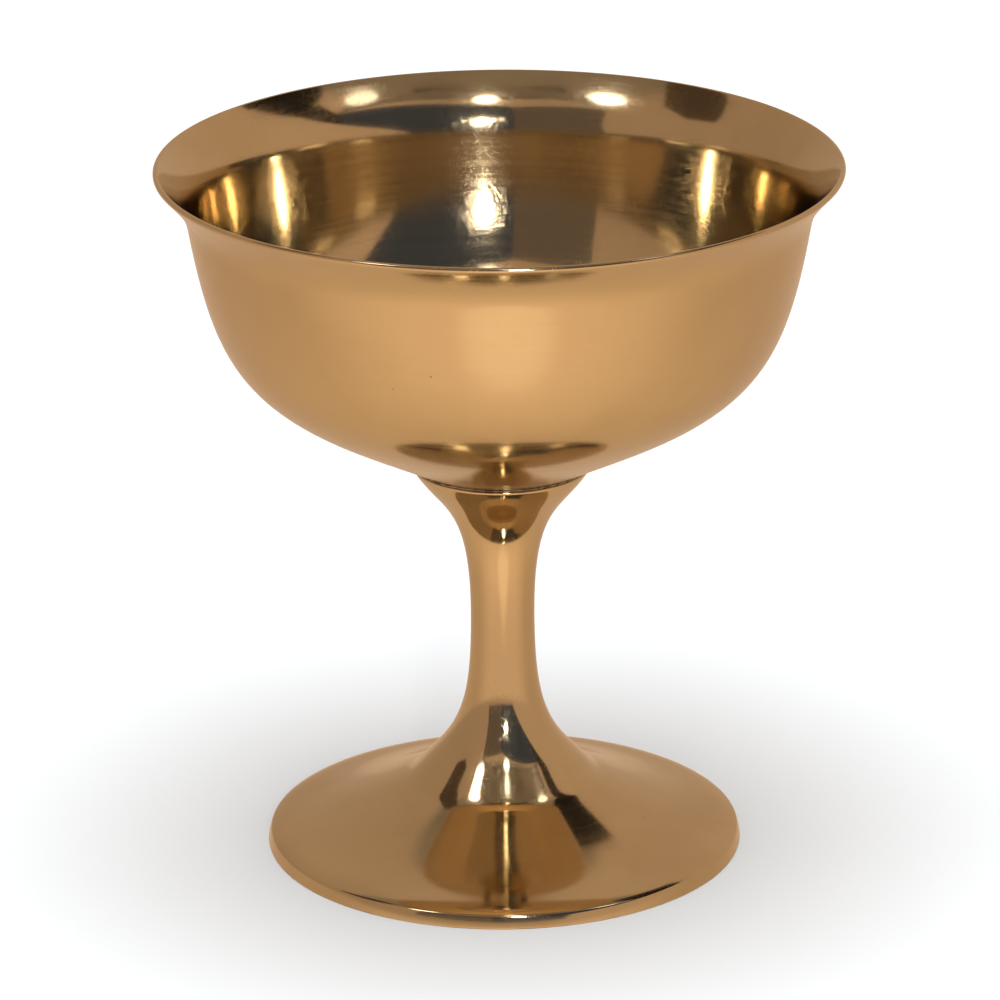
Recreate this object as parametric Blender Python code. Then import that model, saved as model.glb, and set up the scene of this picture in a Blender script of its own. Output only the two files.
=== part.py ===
"""Brass pedestal cup (champagne coupe), modelled as the pieces it is assembled from.

Run with: blender --background --python part.py, or from Blender's text editor.

Metres, +Z up, origin at the centre of the ring that the foot rests on. The dimensions below are in
millimetres, and turn() and hexagon_prism() convert them. Every piece is turned about the Z axis,
and the nut is then cut to a hexagon.

How it goes together: the boss is soldered under the bowl and sits in the stem's head. The tie rod
screws into the boss and runs down through the bored stem. The stem stands on the foot's raised
centre, and the washer and nut under the foot pull everything tight. Soft solder seals the seam
round the stem's head.
"""
import math

import bmesh
import bpy

MM = 0.001                     # metres in a millimetre
GAP = 0.3                      # clearance between pieces that touch

# Outer shape, as (radius, height)
HEIGHT = 100.0
LIP_RADIUS = 47.6
NECK = (42.9, 91.4)            # where the bowl's wall ends and the lip starts to flare
HEAD = (13.05, 56.95)          # where the bowl meets the line of the stem's head
WAIST = (4.5, 34.0)            # the stem's thinnest place
FLARE = (9.67, 13.6)           # where the stem opens out into the trumpet root
ROOT = (15.88, 8.27)           # where the trumpet root runs out into the foot's plate
BAND_TOP = (33.3, 1.85)        # sharp edge between the plate and the turned-down band
FOOT_RADIUS = 33.75
BOWL_BOTTOM = 53.7             # height of the bowl's underside on the axis

# Directions of the outer shape, in degrees anticlockwise from outwards, going up from foot to lip
PLATE_EDGE_ANGLE = 151.8       # the plate rolls over just inside its edge
ROOT_ANGLE = 153.0
FLARE_ANGLE = 132.55
WAIST_ANGLE = 90.0
HEAD_ANGLE = 60.5
UNDERSIDE_ANGLE = 0.0
BOWL_ANGLE = 28.0
NECK_ANGLE = 80.5
LIP_ANGLE = 45.5

# How far each stretch follows its first and its last direction: the longer, the fuller the curve
PLATE_REACH = (3.47, 14.06)
ROOT_REACH = (3.26, 6.0)
FLARE_REACH = (6.15, 10.9)
HEAD_REACH = (17.1, 8.2)
UNDERSIDE_REACH = (6.0, 4.5)
BOWL_REACH = (24.1, 23.4)
LIP_REACH = (2.65, 5.55)

# Sheet thicknesses and the foot's resting ring
BOWL_SHEET = 0.8
FOOT_SHEET = 1.2
RESTING_RING_INNER = 31.5

# Stem and its joints
STEM_BASE = 12.5               # height of the joint between stem and foot
RIM_HEIGHT = 55.3              # top of the stem's head, below the bowl
SEAT_RADIUS = 10.9             # the head carries the bowl inside this radius
BORE_RADIUS = 2.3
SOLDER_INNER = 11.5
SOLDER_OUTER = 12.75
SOLDER_LOWER_EDGE = ((12.4, 55.6), (11.9, 55.55))

# Boss under the bowl: a disc with a shank below it
BOSS_RADIUS = 6.0
BOSS_TOP = 53.4
BOSS_STEP = 50.6
SHANK_RADIUS = 3.5
SHANK_END = 45.5

# M4 rod, washer and nut
ROD_RADIUS = 2.0
ROD_TOP = 52.0
ROD_END = 4.7
ROD_CHAMFER = 0.4
WASHER_RADIUS = 6.0
WASHER_THICKNESS = 1.0
NUT_ACROSS_FLATS = 7.0
NUT_THICKNESS = 3.2
NUT_CHAMFER = 0.5

# Facets round each piece
LARGE_SEGMENTS = 64
STEM_SEGMENTS = 40
SMALL_SEGMENTS = 24
SHARP_ANGLE = math.radians(30)


def reach(point, angle, length):
    """The point at this distance and direction from another."""
    radians = math.radians(angle)
    return (point[0] + length * math.cos(radians), point[1] + length * math.sin(radians))


def curve(start, start_angle, end, end_angle, reaches, steps):
    """Cubic curve between two points, leaving and arriving in the given directions."""
    controls = (start, reach(start, start_angle, reaches[0]), reach(end, end_angle, -reaches[1]), end)
    points = []
    for step in range(steps + 1):
        t = step / steps
        weights = ((1 - t) ** 3, 3 * t * (1 - t) ** 2, 3 * t * t * (1 - t), t ** 3)
        points.append(tuple(sum(w * p[i] for w, p in zip(weights, controls)) for i in (0, 1)))
    return points


def offset(points, distance):
    """The same line, moved to its left by a distance."""
    moved = []
    for index, (radius, height) in enumerate(points):
        before = points[max(index - 1, 0)]
        after = points[min(index + 1, len(points) - 1)]
        along = (after[0] - before[0], after[1] - before[1])
        scale = distance / math.hypot(*along)
        moved.append((radius - along[1] * scale, height + along[0] * scale))
    return moved


def radius_at(points, height):
    """Radius of a line at a height that it passes once."""
    for (r0, z0), (r1, z1) in zip(points, points[1:]):
        if min(z0, z1) <= height <= max(z0, z1):
            return r0 + (r1 - r0) * (height - z0) / (z1 - z0)
    raise ValueError(f"the line doesn't pass the height {height}")


def height_at(points, radius):
    """Height of a line at a radius that it passes once."""
    flipped = [(z, r) for r, z in points]
    return radius_at(flipped, radius)


def between(points, low, high):
    """The part of a rising line between two heights, with a point on each of them."""
    inside = [p for p in points if low < p[1] < high]
    return [(radius_at(points, low), low)] + inside + [(radius_at(points, high), high)]


def plate_line():
    """Top of the foot's plate, from its edge in to the root."""
    return curve(BAND_TOP, PLATE_EDGE_ANGLE, ROOT, ROOT_ANGLE, PLATE_REACH, steps=10)


def root_line():
    """Trumpet root, from the plate up to the waist."""
    root = curve(ROOT, ROOT_ANGLE, FLARE, FLARE_ANGLE, ROOT_REACH, steps=7)
    return root[:-1] + curve(FLARE, FLARE_ANGLE, WAIST, WAIST_ANGLE, FLARE_REACH, steps=9)


def head_line():
    """Upper half of the stem, from the waist up to the bowl."""
    return curve(WAIST, WAIST_ANGLE, HEAD, HEAD_ANGLE, HEAD_REACH, steps=9)


def underside_line():
    """Bottom of the bowl, from the axis out to the stem's head."""
    return curve((0.0, BOWL_BOTTOM), UNDERSIDE_ANGLE, HEAD, BOWL_ANGLE, UNDERSIDE_REACH, steps=4)


def bowl_line():
    """Outside of the bowl, from the stem's head up to the neck."""
    return curve(HEAD, BOWL_ANGLE, NECK, NECK_ANGLE, BOWL_REACH, steps=12)


def lip_edge(angle):
    """Point of the lip's half-round edge, at this many degrees round from its outside."""
    edge_radius = BOWL_SHEET / 2
    centre = (LIP_RADIUS - edge_radius, HEIGHT - edge_radius)
    return reach(centre, LIP_ANGLE - 90 + angle, edge_radius)


def lip_line():
    """Outside of the flared lip, up to where its rounded edge starts."""
    return curve(NECK, NECK_ANGLE, lip_edge(0), LIP_ANGLE, LIP_REACH, steps=5)


def metal(name, colour, roughness):
    """A plain metal material."""
    material = bpy.data.materials.new(name)
    material.use_nodes = True
    shader = material.node_tree.nodes["Principled BSDF"]
    shader.inputs["Base Color"].default_value = (*colour, 1.0)
    shader.inputs["Metallic"].default_value = 1.0
    shader.inputs["Roughness"].default_value = roughness
    return material


def turn(name, outline, segments, material):
    """Turn an outline of (radius, height) points about Z.

    An outline that starts and ends on the axis closes there. Any other is a closed loop.
    """
    work = bmesh.new()
    verts = [work.verts.new((radius * MM, 0.0, height * MM)) for radius, height in outline]
    ends = verts[1:] if outline[0][0] == 0 else verts[1:] + verts[:1]
    edges = [work.edges.new(pair) for pair in zip(verts, ends)]
    bmesh.ops.spin(
        work, geom=verts + edges, axis=(0, 0, 1), cent=(0, 0, 0),
        angle=2 * math.pi, steps=segments, use_merge=True,
    )
    bmesh.ops.remove_doubles(work, verts=work.verts, dist=1e-6)
    bmesh.ops.recalc_face_normals(work, faces=work.faces)
    return finish_object(name, work, material)


def finish_object(name, work, material):
    """Make an object from working geometry, shaded smooth with its sharp edges kept."""
    mesh = bpy.data.meshes.new(name)
    work.to_mesh(mesh)
    work.free()
    mesh.shade_smooth()
    mesh.set_sharp_from_angle(angle=SHARP_ANGLE)
    mesh.materials.append(material)
    piece = bpy.data.objects.new(name, mesh)
    bpy.context.scene.collection.objects.link(piece)
    return piece


def make_bowl():
    """Spun bowl: one sheet from the bottom to the rounded edge of the lip."""
    outside = underside_line()[:-1] + bowl_line()[:-1] + lip_line()
    inside = offset(outside, BOWL_SHEET)
    inside[0] = (0.0, BOWL_BOTTOM + BOWL_SHEET)
    rounding = [lip_edge(angle) for angle in (36, 72, 108, 144)]
    outline = outside + rounding + inside[::-1]
    return turn("bowl", outline, LARGE_SEGMENTS, metal("bowl_brass", (0.80, 0.56, 0.27), 0.12))


def make_stem():
    """Turned stem: bored for the rod, with a socket in its head for the boss."""
    outside = between(root_line() + head_line()[1:], STEM_BASE, RIM_HEIGHT)
    underside = underside_line()
    socket_radius = BOSS_RADIUS + GAP
    seat = [(r, height_at(underside, r) - GAP) for r in (SEAT_RADIUS, socket_radius)]
    shank_socket = SHANK_RADIUS + GAP
    bore = [
        (socket_radius, BOSS_STEP - GAP),
        (shank_socket, BOSS_STEP - GAP),
        (shank_socket, SHANK_END - GAP),
        (BORE_RADIUS, SHANK_END - GAP),
        (BORE_RADIUS, STEM_BASE),
    ]
    return turn("stem", outside + seat + bore, STEM_SEGMENTS, metal("stem_brass", (0.80, 0.56, 0.27), 0.14))


def make_foot():
    """Spun foot: plate and lower trumpet in one sheet, with a raised centre that carries the stem."""
    land = STEM_BASE - GAP
    outside = plate_line()[:-1] + between(root_line(), ROOT[1], land)
    ceiling = land - FOOT_SHEET
    inside = offset(outside, FOOT_SHEET)
    hollow = [p for p in inside if p[0] < RESTING_RING_INNER and p[1] < ceiling]
    hollow.append((radius_at(inside, ceiling), ceiling))
    outline = [(FOOT_RADIUS, 0.0)] + outside + [(BORE_RADIUS, land), (BORE_RADIUS, ceiling)]
    outline += hollow[::-1] + [(RESTING_RING_INNER, 0.0)]
    return turn("foot", outline, LARGE_SEGMENTS, metal("foot_brass", (0.74, 0.50, 0.25), 0.16))


def make_seam_solder():
    """Wedge of soft solder in the groove between the bowl and the stem's head."""
    underside = underside_line()
    top = [(r, height_at(underside, r) - GAP) for r in (SOLDER_INNER, SOLDER_OUTER)]
    outline = top + list(SOLDER_LOWER_EDGE)
    return turn("seam_solder", outline, STEM_SEGMENTS, metal("soft_solder", (0.55, 0.54, 0.50), 0.40))


def make_bowl_boss():
    """Boss soldered under the bowl, tapped blind from below for the rod."""
    outline = [
        (0.0, BOSS_TOP),
        (BOSS_RADIUS, BOSS_TOP),
        (BOSS_RADIUS, BOSS_STEP),
        (SHANK_RADIUS, BOSS_STEP),
        (SHANK_RADIUS, SHANK_END),
        (BORE_RADIUS, SHANK_END),
        (BORE_RADIUS, ROD_TOP + GAP),
        (0.0, ROD_TOP + GAP),
    ]
    return turn("bowl_boss", outline, SMALL_SEGMENTS, metal("turned_brass", (0.72, 0.52, 0.26), 0.35))


def make_tie_rod():
    """M4 rod from the boss down to the nut, with chamfered ends."""
    outline = [
        (0.0, ROD_TOP),
        (ROD_RADIUS - ROD_CHAMFER, ROD_TOP),
        (ROD_RADIUS, ROD_TOP - ROD_CHAMFER),
        (ROD_RADIUS, ROD_END + ROD_CHAMFER),
        (ROD_RADIUS - ROD_CHAMFER, ROD_END),
        (0.0, ROD_END),
    ]
    return turn("tie_rod", outline, SMALL_SEGMENTS, metal("rod_steel", (0.60, 0.60, 0.58), 0.30))


def washer_top():
    """Height of the washer's upper face, just under the foot's raised centre."""
    return STEM_BASE - GAP - FOOT_SHEET - GAP


def make_foot_washer():
    """Plain washer that spreads the nut's load."""
    top = washer_top()
    bottom = top - WASHER_THICKNESS
    outline = [(BORE_RADIUS, top), (WASHER_RADIUS, top), (WASHER_RADIUS, bottom), (BORE_RADIUS, bottom)]
    return turn("foot_washer", outline, SMALL_SEGMENTS, metal("washer_steel", (0.62, 0.61, 0.58), 0.32))


def hexagon_prism(name, across_flats, low, high):
    """Cutter: a hexagonal prism about Z, left out of the build and the render."""
    work = bmesh.new()
    corner_radius = across_flats / 2 / math.cos(math.radians(30))
    bmesh.ops.create_cone(
        work, cap_ends=True, segments=6, depth=(high - low) * MM,
        radius1=corner_radius * MM, radius2=corner_radius * MM,
    )
    bmesh.ops.translate(work, verts=work.verts, vec=(0, 0, (high + low) / 2 * MM))
    cutter = finish_object(name, work, metal("cutter", (0.5, 0.5, 0.5), 0.5))
    cutter.hide_render = True
    cutter.display_type = "WIRE"
    return cutter


def make_foot_nut():
    """M4 nut: a chamfered turned blank, cut to a hexagon."""
    top = washer_top() - WASHER_THICKNESS - GAP
    bottom = top - NUT_THICKNESS
    blank_radius = NUT_ACROSS_FLATS / 2 / math.cos(math.radians(30))
    outline = [
        (BORE_RADIUS, top),
        (blank_radius - NUT_CHAMFER, top),
        (blank_radius, top - NUT_CHAMFER / 2),
        (blank_radius, bottom + NUT_CHAMFER / 2),
        (blank_radius - NUT_CHAMFER, bottom),
        (BORE_RADIUS, bottom),
    ]
    nut = turn("foot_nut", outline, SMALL_SEGMENTS, metal("nut_steel", (0.58, 0.58, 0.56), 0.30))
    cutter = hexagon_prism("nut_cutter", NUT_ACROSS_FLATS, bottom - 1.0, top + 1.0)
    cut = nut.modifiers.new("hexagon", "BOOLEAN")
    cut.operation = "INTERSECT"
    cut.object = cutter
    return nut


def main():
    """Clear the scene and build the eight pieces."""
    for old in list(bpy.data.objects):
        bpy.data.objects.remove(old)
    make_bowl()
    make_seam_solder()
    make_stem()
    make_foot()
    make_bowl_boss()
    make_tie_rod()
    make_foot_washer()
    make_foot_nut()


main()
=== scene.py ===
"""Polished brass pedestal cup (champagne coupe): the visual model, its materials, studio and camera.

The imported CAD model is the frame. Each piece below stands for the CAD node of the same name and
keeps its outline, with finer curves, rounded edges, a real thread and procedural metal finishes.
Two joints differ. The stem's rim stands 1.1 mm higher here, so that less of the solder shows, and
the clearance between the stem and the foot is closed to a hairline.
Shape dimensions are in millimetres, and the mesh functions convert them to metres.
"""
import math

import bmesh
import bpy
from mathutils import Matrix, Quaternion, Vector, noise


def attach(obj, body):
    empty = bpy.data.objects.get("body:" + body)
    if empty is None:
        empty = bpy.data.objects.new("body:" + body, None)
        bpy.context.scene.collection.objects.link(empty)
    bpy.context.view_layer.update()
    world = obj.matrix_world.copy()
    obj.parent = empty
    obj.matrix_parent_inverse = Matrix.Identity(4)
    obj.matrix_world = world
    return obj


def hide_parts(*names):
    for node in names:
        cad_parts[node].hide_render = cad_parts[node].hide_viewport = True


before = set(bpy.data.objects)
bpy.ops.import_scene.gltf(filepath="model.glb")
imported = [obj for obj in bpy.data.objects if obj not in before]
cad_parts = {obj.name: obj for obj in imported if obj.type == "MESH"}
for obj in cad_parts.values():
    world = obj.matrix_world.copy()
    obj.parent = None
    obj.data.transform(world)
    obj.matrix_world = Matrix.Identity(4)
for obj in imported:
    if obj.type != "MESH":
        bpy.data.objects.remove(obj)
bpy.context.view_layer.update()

MM = 0.001                     # metres in a millimetre

# Outer shape, as (radius, height)
HEIGHT = 100.0
LIP_RADIUS = 47.6
NECK = (42.9, 91.4)            # where the bowl's wall ends and the lip starts to flare
HEAD = (13.05, 56.95)          # where the bowl meets the line of the stem's head
WAIST = (4.5, 34.0)            # the stem's thinnest place
FLARE = (9.67, 13.6)           # where the stem opens out into the trumpet root
ROOT = (15.88, 8.27)           # where the trumpet root runs out into the foot's plate
BAND_TOP = (33.3, 1.85)        # edge between the plate and the turned-down band
FOOT_RADIUS = 33.75
BOWL_BOTTOM = 53.7             # height of the bowl's underside on the axis

# Directions of the outer shape, in degrees anticlockwise from outwards, going up from foot to lip
PLATE_EDGE_ANGLE = 151.8       # the plate rolls over just inside its edge
ROOT_ANGLE = 153.0
FLARE_ANGLE = 132.55
WAIST_ANGLE = 90.0
HEAD_ANGLE = 60.5
UNDERSIDE_ANGLE = 0.0
BOWL_ANGLE = 28.0
NECK_ANGLE = 80.5
LIP_ANGLE = 45.5

# How far each stretch follows its first and its last direction: the longer, the fuller the curve
PLATE_REACH = (3.47, 14.06)
ROOT_REACH = (3.26, 6.0)
FLARE_REACH = (6.15, 10.9)
HEAD_REACH = (17.1, 8.2)
UNDERSIDE_REACH = (6.0, 4.5)
BOWL_REACH = (24.1, 23.4)
LIP_REACH = (2.65, 5.55)

# Sheet thicknesses, resting ring and small edges
BOWL_SHEET = 0.8
FOOT_SHEET = 1.2
RESTING_RING_INNER = 31.5
EDGE_CUT = 0.3                 # how far back the foot's edges are rounded
BOSS_BREAK = 0.12              # and the boss's, the washer's and the solder's
WASHER_BREAK = 0.2
SOLDER_BREAK = 0.06

# Stem and its joints
JOINT_HEIGHT = 12.35           # the stem and the foot meet flush here
JOINT_GAP = 0.002              # half of the hairline between them
RIM_HEIGHT = 56.4              # top of the stem's head, just below the bowl
RIM_ROLL = 0.6                 # the rim is rounded over this far
GROOVE = ((12.1, 56.3), (11.9, 55.3), (11.1, 55.1))     # solder groove inside the rim
SEAT_RADII = (10.9, 9.5, 8.0)  # inside the groove, the head's top follows the bowl
SEAT_GAP = 0.3                 # room between the stem and what sits in it
BORE_RADIUS = 2.3
BUFFED_DEPTH = 0.5             # the stem is buffed less than this far inside its outline
SOLDER_RADII = (11.5, 12.1, 12.7)
SOLDER_LOWER_EDGE = ((12.6, 56.5), (12.1, 56.45), (11.8, 55.5), (11.5, 55.45))
SOLDER_GAP = 0.06              # between the solder and the bowl
SOLDER_LUMPS = 0.55            # how many lumps there are in a millimetre
SOLDER_DRIFT = 0.05            # how far the lumps move its surface in or out
SOLDER_SAG = 0.02              # and down

# Boss under the bowl
BOSS_RADIUS = 6.0
BOSS_TOP = 53.4
BOSS_STEP = 50.6
SHANK_RADIUS = 3.5
SHANK_END = 45.5
HOLE_ROOM = 0.3                # the tapped hole's wall ends this far above the rod
DRILL_POINT = 1.0              # and its cone ends this far above the rod

# M4 rod, washer and nut
ROD_RADIUS = 2.0
ROD_TOP = 52.0
ROD_END = 4.7
THREAD_PITCH = 0.7
THREAD_DEPTH = 0.38
THREAD_FLANKS = 0.92           # share of a turn that the flanks take, the rest being a flat crest
WASHER_RADIUS = 6.0
WASHER_TOP = 10.7
WASHER_THICKNESS = 1.0
NUT_ACROSS_FLATS = 7.0
NUT_TOP = 9.4
NUT_THICKNESS = 3.2
NUT_FACE = 0.97                # radius of the nut's flat faces, as a share of half across its flats
NUT_COUNTERSINK = 0.25
NUT_CORNER_CUT = 0.05

# Steps round the pieces, and along the rod and the nut
LARGE_SEGMENTS = 384
STEM_SEGMENTS = 256
SMALL_SEGMENTS = 96
ROD_SEGMENTS = 48
ROD_ROWS_PER_TURN = 10
NUT_SEGMENTS = 144
NUT_LEVELS = 10

# Metal colours
BRASS = (0.60, 0.48, 0.30)
TARNISH = (0.72, 0.66, 0.60)   # what thin tarnish leaves of the brass's colour
PIT_BROWN = (0.10, 0.055, 0.03)
SPUN_BROWN = (0.34, 0.19, 0.09)
TURNED_BROWN = (0.52, 0.33, 0.15)
FLUX_BROWN = (0.14, 0.09, 0.05)
SOLDER_GREY = (0.46, 0.42, 0.36)
ZINC_BLUE = (0.56, 0.58, 0.62)
ZINC_STRAW = (0.62, 0.59, 0.50)

# Marks on the buffed brass, in millimetres, and how much duller they are
PIT_SPACING = 7.0
PIT_SIZE = 0.16
PIT_DEPTH = 0.02
SCRATCH_LENGTH = 3.0
SCRATCH_LENGTH_STEP = 0.8      # each direction's scratches are longer than the last one's
SCRATCH_WIDTH = 0.10
SCRATCH_BEND = 5.0
SCRATCH_DULLNESS = 0.08
TARNISH_DULLNESS = 0.05
SCRATCH_DIRECTIONS = (
    (1.0, 0.2, 0.5),
    (-0.5, 0.3, 1.0),
    (0.3, 1.0, 0.6),
    (-0.8, 1.0, -0.2),
    (0.9, -0.1, -0.8),
    (0.1, 0.2, 1.0),
)
ACROSS_THE_RINGS = 0.25        # of a turn: highlights stretch across the polishing rings

# Camera: a long lens that looks down over the rim. Its place and the clip distances are in metres
CAMERA_PLACE = (-0.00025, -0.78028, 0.33395)
CAMERA_DOWN = 19.9466          # degrees below the horizon
CAMERA_ROLL = -0.456           # in degrees, since the cup leans slightly in the photograph
CAMERA_LENS = 213.05
CAMERA_SENSOR = 36.0
CAMERA_CLIP = (0.01, 200.0)

# Studio, in metres. Azimuth 0 is on the camera's side and 90 is to the right, in degrees
FLOOR_RADIUS = 60.0
FLOOR_GREY = (0.438, 0.473, 0.505)
STUDIO_DISTANCE = 1.5          # from the origin to the cards
BOWL_MIDDLE = 0.07             # height that the lamps' directions are measured from
LAMP_COLOUR = (1.0, 0.96, 0.90)
OVERHEAD_ANGLE = 60            # how wide the overhead light looks, in degrees
OVERHEAD_STRENGTH = 6.2

# Light tent, as the brass mirrors it: "far" is near the horizon and "near" is under the cup
GROUND_FAR = (0.643, 0.442, 0.290)
GROUND_NEAR = (0.833, 0.577, 0.350)
GROUND_BACK = (0.667, 0.458, 0.300)
FRONT_FAR = (0.883, 0.615, 0.417)
FRONT_NEAR = (1.150, 0.792, 0.507)
FLASH_ON_GROUND = (1.400, 1.000, 0.667)
WALL_LEFT = (0.492, 0.346, 0.237)
WALL_RIGHT = (0.650, 0.454, 0.307)
CEILING = (0.317, 0.246, 0.183)
BACKDROP = (1.0, 1.0, 1.0)


# ---------------------------------------------------------------- outlines

def reach(point, angle, length):
    """The point at this distance and direction from another."""
    radians = math.radians(angle)
    return (point[0] + length * math.cos(radians), point[1] + length * math.sin(radians))


def curve(start, start_angle, end, end_angle, reaches, steps):
    """Cubic curve between two points, leaving and arriving in the given directions."""
    controls = (start, reach(start, start_angle, reaches[0]), reach(end, end_angle, -reaches[1]), end)
    points = []
    for step in range(steps + 1):
        t = step / steps
        weights = ((1 - t) ** 3, 3 * t * (1 - t) ** 2, 3 * t * t * (1 - t), t ** 3)
        points.append(tuple(sum(w * p[i] for w, p in zip(weights, controls)) for i in (0, 1)))
    return points


def offset(points, distance):
    """The same line, moved to its left by a distance."""
    moved = []
    for index, (radius, height) in enumerate(points):
        before = points[max(index - 1, 0)]
        after = points[min(index + 1, len(points) - 1)]
        along = (after[0] - before[0], after[1] - before[1])
        scale = distance / math.hypot(*along)
        moved.append((radius - along[1] * scale, height + along[0] * scale))
    return moved


def radius_at(points, height):
    """Radius of a line at a height that it passes once."""
    for (r0, z0), (r1, z1) in zip(points, points[1:]):
        if min(z0, z1) <= height <= max(z0, z1):
            return r0 + (r1 - r0) * (height - z0) / (z1 - z0)
    raise ValueError(f"the line doesn't pass the height {height}")


def height_at(points, radius):
    """Height of a line at a radius that it passes once."""
    return radius_at([(z, r) for r, z in points], radius)


def between(points, low, high):
    """The part of a rising line between two heights, with a point on each of them."""
    inside = [p for p in points if low < p[1] < high]
    return [(radius_at(points, low), low)] + inside + [(radius_at(points, high), high)]


def round_corner(before, corner, after, cut, steps):
    """Points round a corner that is cut back by a length on both sides."""
    corner = Vector(corner)
    start = corner + (Vector(before) - corner).normalized() * cut
    end = corner + (Vector(after) - corner).normalized() * cut
    points = []
    for step in range(steps + 1):
        t = step / steps
        points.append(tuple(start * (1 - t) ** 2 + corner * 2 * t * (1 - t) + end * t * t))
    return points


def rounded(points, cut, steps=3, closed=True):
    """An outline with its corners rounded, and cut back less where the sides are short."""
    smooth = []
    for index, corner in enumerate(points):
        if not closed and index in (0, len(points) - 1):
            smooth.append(corner)
            continue
        before = points[index - 1]
        after = points[(index + 1) % len(points)]
        shorter = min(math.dist(before, corner), math.dist(after, corner))
        smooth += round_corner(before, corner, after, min(cut, shorter / 3), steps)
    return smooth


def plate_line():
    """Top of the foot's plate, from its edge in to the root."""
    return curve(BAND_TOP, PLATE_EDGE_ANGLE, ROOT, ROOT_ANGLE, PLATE_REACH, steps=48)


def root_line():
    """Trumpet root, from the plate up to the waist."""
    root = curve(ROOT, ROOT_ANGLE, FLARE, FLARE_ANGLE, ROOT_REACH, steps=48)
    return root[:-1] + curve(FLARE, FLARE_ANGLE, WAIST, WAIST_ANGLE, FLARE_REACH, steps=56)


def head_line():
    """Upper half of the stem, from the waist up to the bowl."""
    return curve(WAIST, WAIST_ANGLE, HEAD, HEAD_ANGLE, HEAD_REACH, steps=56)


def underside_line():
    """Bottom of the bowl, from the axis out to the stem's head."""
    return curve((0.0, BOWL_BOTTOM), UNDERSIDE_ANGLE, HEAD, BOWL_ANGLE, UNDERSIDE_REACH, steps=16)


def bowl_line():
    """Outside of the bowl, from the stem's head up to the neck."""
    return curve(HEAD, BOWL_ANGLE, NECK, NECK_ANGLE, BOWL_REACH, steps=64)


def lip_edge(angle):
    """Point of the lip's half-round edge, at this many degrees round from its outside."""
    edge_radius = BOWL_SHEET / 2
    centre = (LIP_RADIUS - edge_radius, HEIGHT - edge_radius)
    return reach(centre, LIP_ANGLE - 90 + angle, edge_radius)


def lip_line():
    """Outside of the flared lip, up to where its rounded edge starts."""
    return curve(NECK, NECK_ANGLE, lip_edge(0), LIP_ANGLE, LIP_REACH, steps=16)


# ---------------------------------------------------------------- meshes

def on_circle(radius, angle, height):
    """Place in metres of a point at a radius, an angle in radians and a height in millimetres."""
    return (radius * math.cos(angle) * MM, radius * math.sin(angle) * MM, height * MM)


def turned_mesh(name, outline, segments, closed=True):
    """Mesh of an outline of (radius, height) points turned about Z.

    The outline runs anticlockwise round the solid, so that the faces look outwards.
    The point attribute "line" holds the distance along the outline in millimetres, which the
    materials use for their polishing lines.
    """
    mesh = bpy.data.meshes.new(name)
    verts, rings, distances = [], [], []
    distance = 0.0
    for index, (radius, height) in enumerate(outline):
        if index:
            distance += math.dist(outline[index], outline[index - 1])
        if radius < 1e-6:
            rings.append([len(verts)] * segments)
            verts.append((0.0, 0.0, height * MM))
            distances.append(distance)
            continue
        rings.append(list(range(len(verts), len(verts) + segments)))
        for step in range(segments):
            verts.append(on_circle(radius, 2 * math.pi * step / segments, height))
        distances.extend([distance] * segments)
    pairs = list(zip(rings, rings[1:]))
    if closed:
        pairs.append((rings[-1], rings[0]))
    faces = []
    for lower, upper in pairs:
        for step in range(segments):
            ahead = (step + 1) % segments
            corners = (lower[step], lower[ahead], upper[ahead], upper[step])
            faces.append(tuple(dict.fromkeys(corners)))
    mesh.from_pydata(verts, [], faces)
    mesh.attributes.new("line", "FLOAT", "POINT").data.foreach_set("value", distances)
    mesh.shade_smooth()
    return mesh


def new_object(name, data):
    """An object with this mesh, light or camera, added to the scene."""
    made = bpy.data.objects.new(name, data)
    bpy.context.scene.collection.objects.link(made)
    return made


def piece(name, mesh):
    """Add an object that stands for the CAD node of the same name."""
    made = new_object(name + "_finished", mesh)
    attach(made, "root")
    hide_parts(name)


def add_materials(mesh, materials, choose):
    """Give each face one of the materials, chosen by its centre in millimetres and its normal."""
    for material in materials:
        mesh.materials.append(material)
    for face in mesh.polygons:
        face.material_index = choose(face.center / MM, face.normal)


# ---------------------------------------------------------------- node helpers

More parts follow.
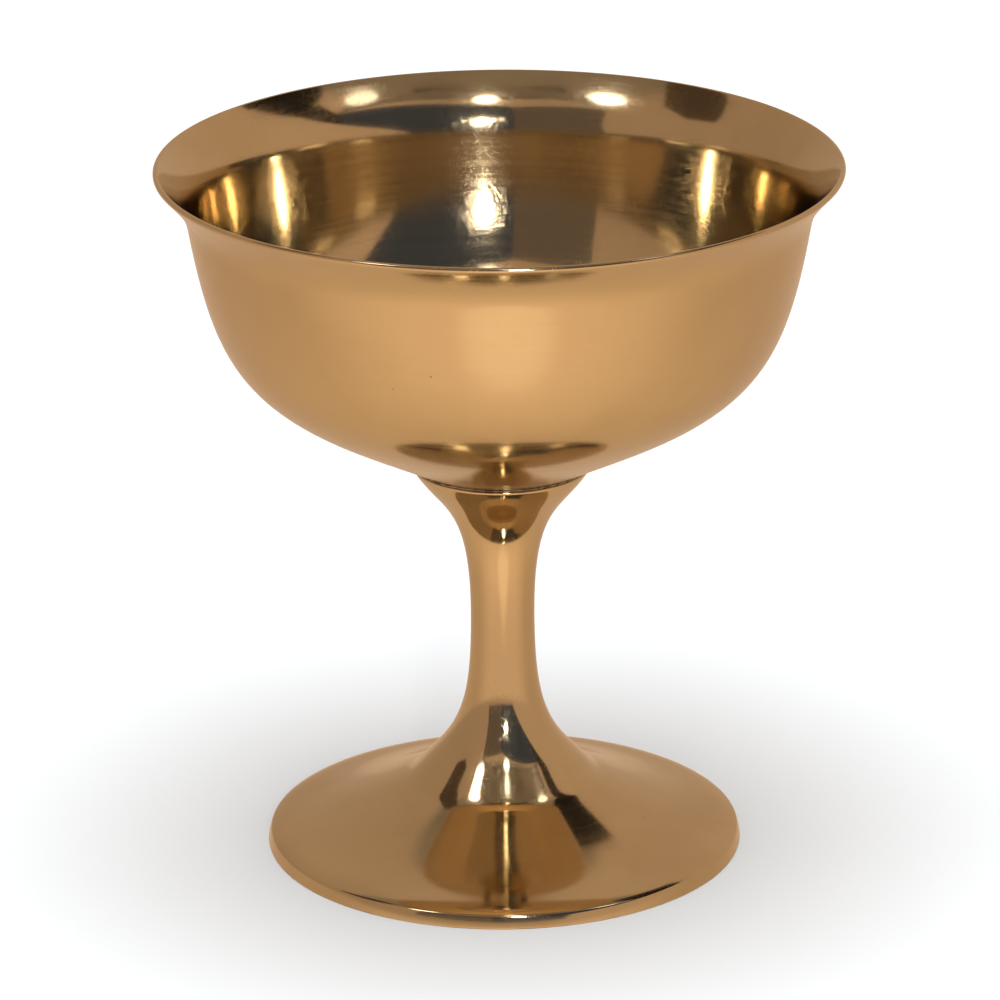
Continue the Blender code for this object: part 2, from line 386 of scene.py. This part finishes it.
class Nodes:
    """Short calls for adding nodes to a tree."""

    MIX_INPUTS = (0, 6, 7)         # a Mix node's factor and its two colours
    MIX_RESULT = 2

    def __init__(self, tree):
        self.tree = tree

    def link(self, output, socket):
        """Connect an output to an input socket."""
        self.tree.links.new(output, socket)

    def add(self, kind, links=None, **settings):
        """A node with its settings, and with links from sockets or values to its inputs."""
        node = self.tree.nodes.new(kind)
        for key, value in settings.items():
            setattr(node, key, value)
        for key, value in (links or {}).items():
            if isinstance(value, bpy.types.NodeSocket):
                self.link(value, node.inputs[key])
            else:
                node.inputs[key].default_value = value
        return node

    def math(self, operation, *values):
        """Result of a Math node."""
        node = self.add("ShaderNodeMath", dict(enumerate(values)), operation=operation)
        return node.outputs[0]

    def vector(self, operation, *values):
        """Result of a Vector Math node."""
        node = self.add("ShaderNodeVectorMath", dict(enumerate(values)), operation=operation)
        return node.outputs["Value" if operation == "DOT_PRODUCT" else "Vector"]

    def ramp(self, value, low, high, start=0.0, end=1.0):
        """A value mapped smoothly from low..high to start..end."""
        node = self.add(
            "ShaderNodeMapRange",
            {"Value": value, "From Min": low, "From Max": high, "To Min": start, "To Max": end},
            interpolation_type="SMOOTHSTEP",
        )
        return node.outputs["Result"]

    def noise(self, place, scale, detail=2.0, roughness=0.5):
        """Noise at a place, from 0 to 1."""
        node = self.add(
            "ShaderNodeTexNoise",
            {"Vector": place, "Scale": scale, "Detail": detail, "Roughness": roughness},
        )
        return node.outputs["Fac"]

    def mix(self, factor, first, second):
        """Two colours mixed."""
        node = self.add("ShaderNodeMix", data_type="RGBA")
        for index, value in zip(self.MIX_INPUTS, (factor, first, second)):
            if isinstance(value, bpy.types.NodeSocket):
                self.link(value, node.inputs[index])
            else:
                node.inputs[index].default_value = (*value, 1.0)
        return node.outputs[self.MIX_RESULT]


def new_metal(name, anisotropy):
    """A metal material with its helper, its shader and the piece's own coordinates in millimetres."""
    material = bpy.data.materials.new(name)
    material.use_nodes = True
    nodes = Nodes(material.node_tree)
    shader = material.node_tree.nodes["Principled BSDF"]
    shader.inputs["Metallic"].default_value = 1.0
    shader.inputs["Anisotropic"].default_value = anisotropy
    shader.inputs["Anisotropic Rotation"].default_value = ACROSS_THE_RINGS
    around = nodes.add("ShaderNodeTangent", direction_type="RADIAL", axis="Z")
    nodes.link(around.outputs["Tangent"], shader.inputs["Tangent"])
    place = nodes.add("ShaderNodeTexCoord").outputs["Object"]
    millimetres = nodes.vector("MULTIPLY", place, (1 / MM,) * 3)
    return material, nodes, shader, millimetres


def connect(nodes, shader, colour, roughness, relief):
    """Lead a metal's colour, roughness and relief in millimetres to its shader."""
    bump = nodes.add("ShaderNodeBump", {"Height": relief, "Distance": MM, "Strength": 1.0})
    nodes.link(colour, shader.inputs["Base Color"])
    nodes.link(roughness, shader.inputs["Roughness"])
    nodes.link(bump.outputs["Normal"], shader.inputs["Normal"])


def around_the_axis(nodes, millimetres, arcs, per_mm):
    """Coordinates whose noise runs in rings: few changes round the axis, many along the outline."""
    flat = nodes.vector("NORMALIZE", nodes.vector("MULTIPLY", millimetres, (1.0, 1.0, 0.0)))
    along = nodes.add("ShaderNodeAttribute", attribute_name="line").outputs["Fac"]
    height = nodes.add("ShaderNodeCombineXYZ", {"Z": nodes.math("MULTIPLY", along, per_mm)})
    return nodes.vector("ADD", nodes.vector("MULTIPLY", flat, (arcs,) * 3), height.outputs[0])


def scratch_layer(nodes, millimetres, along, length, width, amount):
    """Thin scratches that run along one direction, from 0 to 1."""
    turn = Vector(along).to_track_quat("X", "Z").inverted().to_euler()
    node = nodes.add("ShaderNodeMapping", {"Vector": millimetres, "Rotation": turn}, vector_type="POINT")
    stretched = nodes.vector("MULTIPLY", node.outputs[0], (1 / length, 1 / width, 1 / width))
    return nodes.ramp(nodes.noise(stretched, 1.0, detail=0.0), 0.80 - amount, 0.84 - amount)


def scratches(nodes, millimetres, amount):
    """Random curved hair scratches in many directions, from 0 to 1."""
    bend = nodes.add("ShaderNodeTexNoise", {"Vector": millimetres, "Scale": 0.09, "Detail": 1.0})
    shift = nodes.vector("MULTIPLY", bend.outputs["Color"], (SCRATCH_BEND,) * 3)
    bent = nodes.vector("ADD", millimetres, shift)
    total = None
    for index, along in enumerate(SCRATCH_DIRECTIONS):
        length = SCRATCH_LENGTH + SCRATCH_LENGTH_STEP * index
        layer = scratch_layer(nodes, bent, along, length, SCRATCH_WIDTH, amount)
        total = layer if total is None else nodes.math("MAXIMUM", total, layer)
    return total


def specks(nodes, millimetres, spacing, size):
    """Small round pits, one in some of the cells, from 0 to 1."""
    cells = nodes.add("ShaderNodeTexVoronoi", {"Vector": millimetres, "Scale": 1 / spacing})
    dot = nodes.ramp(cells.outputs["Distance"], size / spacing, 0.3 * size / spacing)
    chosen = nodes.add("ShaderNodeSeparateColor", {"Color": cells.outputs["Color"]})
    return nodes.math("MULTIPLY", dot, nodes.math("GREATER_THAN", chosen.outputs[0], 0.55))


def polished_brass(name, roughness, anisotropy, line_depth, scratch_amount, scratch_depth, tarnish):
    """Spun and buffed brass: polishing rings, hair scratches, pits and a breath of tarnish."""
    material, nodes, shader, mm = new_metal(name, anisotropy)

    # Patches of thin tarnish, and dark pits
    patches = nodes.noise(mm, 0.06, detail=4.0, roughness=0.6)
    film = nodes.math("MULTIPLY", nodes.ramp(patches, 0.35, 0.75), tarnish)
    colour = nodes.mix(film, BRASS, tuple(part * left for part, left in zip(BRASS, TARNISH)))
    pits = specks(nodes, mm, PIT_SPACING, PIT_SIZE)
    colour = nodes.mix(pits, colour, PIT_BROWN)

    # The buff leaves some rings duller than others, and tarnish and scratches dull them more
    rings = nodes.noise(around_the_axis(nodes, mm, 1.5, 2.2), 1.0, detail=3.0)
    fine = nodes.noise(around_the_axis(nodes, mm, 2.5, 14.0), 1.0, detail=2.0, roughness=0.7)
    hairs = scratches(nodes, mm, scratch_amount)
    dullness = nodes.ramp(rings, 0.3, 0.7, roughness * 0.8, roughness * 1.25)
    dullness = nodes.math("ADD", dullness, nodes.math("MULTIPLY", film, TARNISH_DULLNESS))
    dullness = nodes.math("ADD", dullness, nodes.math("MULTIPLY", hairs, SCRATCH_DULLNESS))

    # Fine rings stand out, and scratches and pits are cut in
    relief = nodes.math("MULTIPLY", fine, line_depth)
    relief = nodes.math("SUBTRACT", relief, nodes.math("MULTIPLY", hairs, scratch_depth))
    relief = nodes.math("SUBTRACT", relief, nodes.math("MULTIPLY", pits, PIT_DEPTH))
    connect(nodes, shader, colour, dullness, relief)
    return material


def spun_brass(name):
    """Unpolished brass as it left the spinning lathe: open tool rings and brown tarnish."""
    material, nodes, shader, mm = new_metal(name, anisotropy=0.5)
    patches = nodes.noise(mm, 0.12, detail=5.0, roughness=0.6)
    colour = nodes.mix(nodes.ramp(patches, 0.35, 0.7), BRASS, SPUN_BROWN)
    rings = nodes.noise(around_the_axis(nodes, mm, 0.6, 1.6), 1.0, detail=4.0, roughness=0.65)
    dullness = nodes.ramp(rings, 0.3, 0.7, 0.24, 0.42)
    connect(nodes, shader, colour, dullness, relief=nodes.math("MULTIPLY", rings, 0.04))
    return material


def solder_metal(name):
    """Dull grey soft solder, lumpy, with brown flux left in its hollows."""
    material, nodes, shader, mm = new_metal(name, anisotropy=0.0)
    lumps = nodes.noise(mm, 1.3, detail=4.0, roughness=0.6)
    colour = nodes.mix(nodes.ramp(lumps, 0.35, 0.6), FLUX_BROWN, SOLDER_GREY)
    dullness = nodes.ramp(lumps, 0.3, 0.7, 0.5, 0.28)
    connect(nodes, shader, colour, dullness, relief=nodes.math("MULTIPLY", lumps, 0.08))
    return material


def zinc_steel(name):
    """Bright zinc plating over steel: faint blue and straw patches and a fine grain."""
    material, nodes, shader, mm = new_metal(name, anisotropy=0.2)
    patches = nodes.noise(mm, 0.5, detail=3.0)
    colour = nodes.mix(nodes.ramp(patches, 0.35, 0.65), ZINC_BLUE, ZINC_STRAW)
    grain = nodes.noise(mm, 9.0, detail=3.0, roughness=0.6)
    dullness = nodes.ramp(grain, 0.3, 0.7, 0.24, 0.4)
    connect(nodes, shader, colour, dullness, relief=nodes.math("MULTIPLY", grain, 0.012))
    return material


def turned_brass(name):
    """Brass straight from the lathe, with even tool marks."""
    material, nodes, shader, mm = new_metal(name, anisotropy=0.6)
    patches = nodes.noise(mm, 0.2, detail=4.0)
    colour = nodes.mix(nodes.ramp(patches, 0.35, 0.7), BRASS, TURNED_BROWN)
    rings = nodes.noise(around_the_axis(nodes, mm, 0.3, 6.0), 1.0, detail=2.0)
    dullness = nodes.ramp(rings, 0.3, 0.7, 0.2, 0.34)
    connect(nodes, shader, colour, dullness, relief=nodes.math("MULTIPLY", rings, 0.02))
    return material


# ---------------------------------------------------------------- pieces

def make_bowl():
    """Spun bowl, with a buffed outside and a scratched inside."""
    outside = underside_line()[:-1] + bowl_line()[:-1] + lip_line()
    inside = offset(outside, BOWL_SHEET)
    inside[0] = (0.0, BOWL_BOTTOM + BOWL_SHEET)
    rounding = [lip_edge(angle) for angle in range(15, 180, 15)]
    mesh = turned_mesh("bowl", outside + rounding + inside[::-1], LARGE_SEGMENTS, closed=False)
    outer = polished_brass(
        "bowl_outside",
        roughness=0.13,
        anisotropy=0.6,
        line_depth=0.0006,
        scratch_amount=0.02,
        scratch_depth=0.002,
        tarnish=0.2,
    )
    inner = polished_brass(
        "bowl_inside",
        roughness=0.09,
        anisotropy=0.7,
        line_depth=0.0006,
        scratch_amount=0.06,
        scratch_depth=0.0008,
        tarnish=0.3,
    )

    def side(centre, normal):
        """1 for the inside, whose faces look towards the axis or straight up."""
        outward = normal.x * centre.x + normal.y * centre.y
        return int(outward < 0 or normal.z > 0.8)

    add_materials(mesh, (outer, inner), side)
    piece("bowl", mesh)


def make_stem():
    """Turned stem, bored for the rod, with a socket in its head for the boss."""
    line = root_line() + head_line()[1:]
    outside = between(line, JOINT_HEIGHT + JOINT_GAP, RIM_HEIGHT)
    underside = underside_line()
    socket = BOSS_RADIUS + SEAT_GAP
    shank = SHANK_RADIUS + SEAT_GAP
    seat = [(r, height_at(underside, r) - SEAT_GAP) for r in (*SEAT_RADII, socket)]
    bore = [
        (socket, BOSS_STEP - SEAT_GAP),
        (shank, BOSS_STEP - SEAT_GAP),
        (shank, SHANK_END - SEAT_GAP),
        (BORE_RADIUS, SHANK_END - SEAT_GAP),
        (BORE_RADIUS, JOINT_HEIGHT + JOINT_GAP),
    ]
    rim = outside[-1]
    outside = [p for p in outside if math.dist(p, rim) > RIM_ROLL]
    outside += round_corner(outside[-1], rim, (0.0, RIM_HEIGHT), RIM_ROLL, steps=8)
    mesh = turned_mesh("stem", outside + list(GROOVE) + seat + bore, STEM_SEGMENTS)
    mesh.set_sharp_from_angle(angle=math.radians(30))
    buffed = polished_brass(
        "stem_outside",
        roughness=0.08,
        anisotropy=0.5,
        line_depth=0.0003,
        scratch_amount=0.02,
        scratch_depth=0.002,
        tarnish=0.2,
    )
    bored = turned_brass("stem_bore")

    def side(centre, normal):
        """1 for the bore and the socket, well inside the stem's outline."""
        radius = math.hypot(centre.x, centre.y)
        height = min(max(centre.z, JOINT_HEIGHT), RIM_HEIGHT)
        return int(radius < radius_at(line, height) - BUFFED_DEPTH)

    add_materials(mesh, (buffed, bored), side)
    piece("stem", mesh)


def make_foot():
    """Spun foot, buffed on top, and left as it was spun underneath."""
    land = JOINT_HEIGHT - JOINT_GAP
    plate = plate_line()
    outside = plate[:-1] + between(root_line(), ROOT[1], land)
    ceiling = land - FOOT_SHEET
    inner = offset(outside, FOOT_SHEET)
    hollow = [p for p in inner if p[0] < RESTING_RING_INNER and p[1] < ceiling]
    hollow.append((radius_at(inner, ceiling), ceiling))
    corner = (FOOT_RADIUS, 0.0)
    outline = round_corner((RESTING_RING_INNER, 0.0), corner, BAND_TOP, EDGE_CUT, steps=6)
    outline += round_corner(corner, BAND_TOP, plate[2], EDGE_CUT, steps=6)
    outline += outside[2:] + [(BORE_RADIUS, land), (BORE_RADIUS, ceiling)]
    outline += hollow[::-1] + [(RESTING_RING_INNER, 0.0)]
    mesh = turned_mesh("foot", outline, LARGE_SEGMENTS)
    mesh.set_sharp_from_angle(angle=math.radians(30))
    buffed = polished_brass(
        "foot_top",
        roughness=0.09,
        anisotropy=0.5,
        line_depth=0.0004,
        scratch_amount=0.02,
        scratch_depth=0.001,
        tarnish=0.35,
    )
    spun = spun_brass("foot_underside")

    def side(centre, normal):
        """1 for what looks down and for the inner wall of the resting ring."""
        radius = math.hypot(centre.x, centre.y)
        return int(normal.z < -0.3 or radius < RESTING_RING_INNER and centre.z < 0.2)

    add_materials(mesh, (buffed, spun), side)
    piece("foot", mesh)


def make_seam_solder():
    """Thin run of solder in the groove under the bowl, uneven all the way round."""
    underside = underside_line()
    top = [(r, height_at(underside, r) - SOLDER_GAP) for r in SOLDER_RADII]
    outline = rounded(list(SOLDER_LOWER_EDGE)[::-1] + top[::-1], SOLDER_BREAK)
    mesh = turned_mesh("seam_solder", outline, STEM_SEGMENTS)
    for vert in mesh.vertices:
        radius = math.hypot(vert.co.x, vert.co.y)
        lump = noise.fractal(vert.co / MM * SOLDER_LUMPS, 1.0, 2.0, 3)
        share = 1 + SOLDER_DRIFT * MM * lump / radius
        vert.co.x *= share
        vert.co.y *= share
        vert.co.z -= SOLDER_SAG * MM * abs(lump)
    mesh.materials.append(solder_metal("solder"))
    piece("seam_solder", mesh)


def make_bowl_boss():
    """Boss soldered under the bowl, tapped blind from below for the rod."""
    outline = rounded(
        [
            (0.0, ROD_TOP + DRILL_POINT),
            (BORE_RADIUS, ROD_TOP + HOLE_ROOM),
            (BORE_RADIUS, SHANK_END),
            (SHANK_RADIUS, SHANK_END),
            (SHANK_RADIUS, BOSS_STEP),
            (BOSS_RADIUS, BOSS_STEP),
            (BOSS_RADIUS, BOSS_TOP),
            (0.0, BOSS_TOP),
        ],
        BOSS_BREAK,
        closed=False,
    )
    mesh = turned_mesh("bowl_boss", outline, SMALL_SEGMENTS, closed=False)
    mesh.materials.append(turned_brass("boss_brass"))
    piece("bowl_boss", mesh)


def make_tie_rod():
    """M4 rod with a rolled thread along its whole length and chamfered ends."""
    steps = ROD_SEGMENTS
    rows = round((ROD_TOP - ROD_END) / THREAD_PITCH * ROD_ROWS_PER_TURN)
    verts, faces = [], []
    for row in range(rows + 1):
        height = ROD_END + (ROD_TOP - ROD_END) * row / rows
        chamfer = min(height - ROD_END, ROD_TOP - height)
        for step in range(steps):
            turn = (height / THREAD_PITCH - step / steps) % 1.0
            flank = min(abs(turn - 0.5) * 2, THREAD_FLANKS) / THREAD_FLANKS
            radius = ROD_RADIUS - THREAD_DEPTH * (1 - flank)
            radius = min(radius, ROD_RADIUS - THREAD_DEPTH + chamfer)
            verts.append(on_circle(radius, 2 * math.pi * step / steps, height))
    for row in range(rows):
        for step in range(steps):
            ahead = (step + 1) % steps
            low, high = row * steps, (row + 1) * steps
            faces.append((low + step, low + ahead, high + ahead, high + step))
    faces.append(tuple(range(steps))[::-1])
    faces.append(tuple(range(rows * steps, (rows + 1) * steps)))
    mesh = bpy.data.meshes.new("tie_rod")
    mesh.from_pydata(verts, [], faces)
    mesh.shade_smooth()
    mesh.set_sharp_from_angle(angle=math.radians(40))
    mesh.materials.append(zinc_steel("rod_steel"))
    piece("tie_rod", mesh)


def make_foot_washer():
    """Plain washer with rounded edges."""
    bottom = WASHER_TOP - WASHER_THICKNESS
    outline = rounded(
        [
            (BORE_RADIUS, bottom),
            (WASHER_RADIUS, bottom),
            (WASHER_RADIUS, WASHER_TOP),
            (BORE_RADIUS, WASHER_TOP),
        ],
        WASHER_BREAK,
    )
    mesh = turned_mesh("foot_washer", outline, SMALL_SEGMENTS)
    mesh.materials.append(zinc_steel("washer_steel"))
    piece("foot_washer", mesh)


def make_foot_nut():
    """M4 nut: six flats, both faces chamfered by a cone, and a countersunk bore."""
    bottom = NUT_TOP - NUT_THICKNESS
    flat = NUT_ACROSS_FLATS / 2
    corner = flat / math.cos(math.radians(30))
    face = flat * NUT_FACE
    mouth = BORE_RADIUS + NUT_COUNTERSINK
    verts = []
    for step in range(NUT_SEGMENTS):
        angle = 2 * math.pi * step / NUT_SEGMENTS
        within = (angle + math.radians(30)) % math.radians(60) - math.radians(30)
        outer = flat / math.cos(within)
        drop = max(outer - face, 0.0) * math.tan(math.radians(30))
        column = [(BORE_RADIUS, NUT_TOP - NUT_COUNTERSINK), (mouth, NUT_TOP), (face, NUT_TOP)]
        for level in range(NUT_LEVELS + 1):
            height = NUT_TOP - drop - (NUT_THICKNESS - 2 * drop) * level / NUT_LEVELS
            column.append((min(outer, corner - NUT_CORNER_CUT), height))
        column += [(face, bottom), (mouth, bottom), (BORE_RADIUS, bottom + NUT_COUNTERSINK)]
        verts += [on_circle(radius, angle, height) for radius, height in column]
    size = len(verts) // NUT_SEGMENTS
    faces = []
    for step in range(NUT_SEGMENTS):
        here = step * size
        there = (step + 1) % NUT_SEGMENTS * size
        for index in range(size):
            ahead = (index + 1) % size
            faces.append((here + index, here + ahead, there + ahead, there + index))
    mesh = bpy.data.meshes.new("foot_nut")
    mesh.from_pydata(verts, [], faces)
    mesh.shade_smooth()
    mesh.set_sharp_from_angle(angle=math.radians(20))
    mesh.materials.append(zinc_steel("nut_steel"))
    piece("foot_nut", mesh)


# ---------------------------------------------------------------- studio

def direction(azimuth, elevation):
    """Unit vector towards an azimuth and an elevation above the horizon, in degrees."""
    a = math.radians(azimuth)
    e = math.radians(elevation)
    return Vector((math.sin(a) * math.cos(e), -math.cos(a) * math.cos(e), math.sin(e)))


def make_floor():
    """Plain pale floor, seen from above only, and not mirrored in the metal."""
    work = bmesh.new()
    bmesh.ops.create_circle(work, cap_ends=True, segments=SMALL_SEGMENTS, radius=FLOOR_RADIUS)
    mesh = bpy.data.meshes.new("floor")
    work.to_mesh(mesh)
    work.free()
    floor = new_object("floor", mesh)
    material = bpy.data.materials.new("floor_paper")
    material.use_nodes = True
    nodes = Nodes(material.node_tree)
    shader = material.node_tree.nodes["Principled BSDF"]
    shader.inputs["Base Color"].default_value = (*FLOOR_GREY, 1.0)
    shader.inputs["Roughness"].default_value = 0.9
    clear = nodes.add("ShaderNodeBsdfTransparent")
    below = nodes.add("ShaderNodeNewGeometry").outputs["Backfacing"]
    both = nodes.add("ShaderNodeMixShader", {0: below, 1: shader.outputs[0], 2: clear.outputs[0]})
    output = material.node_tree.nodes["Material Output"]
    nodes.link(both.outputs[0], output.inputs["Surface"])
    mesh.materials.append(material)
    floor.visible_glossy = False


CARDS = (
    # name, colour, corners as (azimuth, elevation)
    (
        "opening_left",
        (0.163, 0.125, 0.103),
        ((-42, 3), (-6, 3), (-6, 46), (-48, 46), (-42, 30), (-40, 15)),
    ),
    (
        "opening_right",
        (0.062, 0.071, 0.093),
        ((-6, 3), (27, 3), (50, 21), (64, 31), (74, 40), (74, 46), (-6, 46)),
    ),
    (
        "opening_top",
        (0.24, 0.19, 0.145),
        ((-48, 46), (74, 46), (76, 57), (40, 58), (0, 58), (-50, 57)),
    ),
    (
        "ceiling_front",
        (0.07, 0.058, 0.045),
        ((-36, 57), (0, 57), (46, 57), (50, 66), (0, 68), (-40, 66)),
    ),
    (
        "gap_right",
        (0.05, 0.04, 0.035),
        ((64, 31), (96, 45), (90, 52), (74, 46)),
    ),
    (
        "gap_back",
        (0.018, 0.016, 0.014),
        ((92, 44), (120, 43), (146, 47), (147, 60), (115, 62), (92, 56)),
    ),
    (
        "gap_left",
        (0.09, 0.06, 0.04),
        ((-84, 40), (-98, 38), (-106, 43), (-136, 57), (-132, 64), (-92, 59), (-80, 50)),
    ),
)


def make_card(name, colour, corners):
    """Flat-coloured panel far from the cup, seen only in the metal."""
    mesh = bpy.data.meshes.new(name)
    verts = [direction(*corner) * STUDIO_DISTANCE for corner in corners]
    mesh.from_pydata([v.to_tuple() for v in verts], [], [tuple(range(len(verts)))])
    card = new_object(name, mesh)
    material = bpy.data.materials.new(name)
    material.use_nodes = True
    nodes = Nodes(material.node_tree)
    glow = nodes.add("ShaderNodeEmission", {"Color": (*colour, 1.0), "Strength": 1.0})
    output = material.node_tree.nodes["Material Output"]
    nodes.link(glow.outputs[0], output.inputs["Surface"])
    mesh.materials.append(material)
    card.visible_camera = False
    card.visible_shadow = False
    card.visible_diffuse = False


LAMPS = (
    # name, azimuth, elevation, distance in metres, width and height in degrees, radiance
    ("flash", 6.5, 18.1, 0.84, 6.0, 7.0, 80.0),
    ("upper_left", -54.0, 55.0, 1.4, 12.0, 10.0, 6.5),
    ("upper_middle", 6.5, 55.5, 1.35, 7.0, 10.0, 7.0),
    ("upper_front", 5.5, 43.0, 1.4, 4.0, 4.0, 7.0),
    ("upper_right", 72.0, 56.0, 1.4, 9.0, 9.0, 2.6),
)


def make_lamp(name, azimuth, elevation, distance, width, height, radiance):
    """Elliptical area light that faces the bowl."""
    data = bpy.data.lights.new(name, "AREA")
    data.shape = "ELLIPSE"
    data.size = distance * math.radians(width)
    data.size_y = distance * math.radians(height)
    area = math.pi / 4 * data.size * data.size_y
    data.energy = radiance * math.pi * area
    data.color = LAMP_COLOUR
    lamp = new_object(name, data)
    place = direction(azimuth, elevation)
    lamp.location = place * distance + Vector((0, 0, BOWL_MIDDLE))
    lamp.rotation_mode = "QUATERNION"
    lamp.rotation_quaternion = place.to_track_quat("Z", "Y")
    lamp.visible_camera = False


def make_soft_light():
    """Broad overhead light for an evenly lit floor and a soft shadow, not mirrored in the metal."""
    data = bpy.data.lights.new("overhead", "SUN")
    data.angle = math.radians(OVERHEAD_ANGLE)
    data.energy = OVERHEAD_STRENGTH
    lamp = new_object("overhead", data)
    lamp.visible_glossy = False


def make_world():
    """Warm light tent that the brass mirrors, and a white backdrop that only the camera sees."""
    world = bpy.data.worlds.new("light_tent")
    world.use_nodes = True
    bpy.context.scene.world = world
    nodes = Nodes(world.node_tree)
    toward = nodes.add("ShaderNodeTexCoord").outputs["Generated"]
    right, back, up = nodes.add("ShaderNodeSeparateXYZ", {"Vector": toward}).outputs

    # Pale floor, brightest in front and where the flash falls on it
    ground = nodes.mix(nodes.ramp(up, -0.1, -0.8), GROUND_FAR, GROUND_NEAR)
    front = nodes.mix(nodes.ramp(up, -0.25, -0.6), FRONT_FAR, FRONT_NEAR)
    ground = nodes.mix(nodes.ramp(back, 0.1, -0.8), ground, front)
    ground = nodes.mix(nodes.ramp(back, 0.0, 0.9), ground, GROUND_BACK)
    glow = nodes.vector("DOT_PRODUCT", toward, tuple(direction(3, -37)))
    spot = nodes.ramp(glow, math.cos(math.radians(20)), math.cos(math.radians(4)))
    ground = nodes.mix(spot, ground, FLASH_ON_GROUND)

    # Tan walls and a darker ceiling
    walls = nodes.mix(nodes.ramp(right, -0.9, 0.7), WALL_LEFT, WALL_RIGHT)
    upper = nodes.mix(nodes.ramp(up, 0.78, 0.84), walls, CEILING)
    tent = nodes.mix(nodes.ramp(up, -0.06, 0.02), ground, upper)

    seen = nodes.add("ShaderNodeLightPath").outputs["Is Camera Ray"]
    background = world.node_tree.nodes["Background"]
    nodes.link(nodes.mix(seen, tent, BACKDROP), background.inputs["Color"])


def make_camera():
    """Long lens from the front, looking down on the rim, with a very slight lean."""
    data = bpy.data.cameras.new("camera")
    data.lens = CAMERA_LENS
    data.sensor_width = CAMERA_SENSOR
    data.clip_start, data.clip_end = CAMERA_CLIP
    camera = new_object("camera", data)
    tilt = Quaternion((1, 0, 0), math.radians(90 - CAMERA_DOWN))
    roll = Quaternion((0, 0, 1), math.radians(CAMERA_ROLL))
    camera.rotation_mode = "QUATERNION"
    camera.rotation_quaternion = tilt @ roll
    camera.location = CAMERA_PLACE
    bpy.context.scene.camera = camera


make_bowl()
make_seam_solder()
make_stem()
make_foot()
make_bowl_boss()
make_tie_rod()
make_foot_washer()
make_foot_nut()
make_floor()
for card in CARDS:
    make_card(*card)
for lamp in LAMPS:
    make_lamp(*lamp)
make_soft_light()
make_world()
make_camera()
bpy.context.scene.view_settings.view_transform = "Standard"
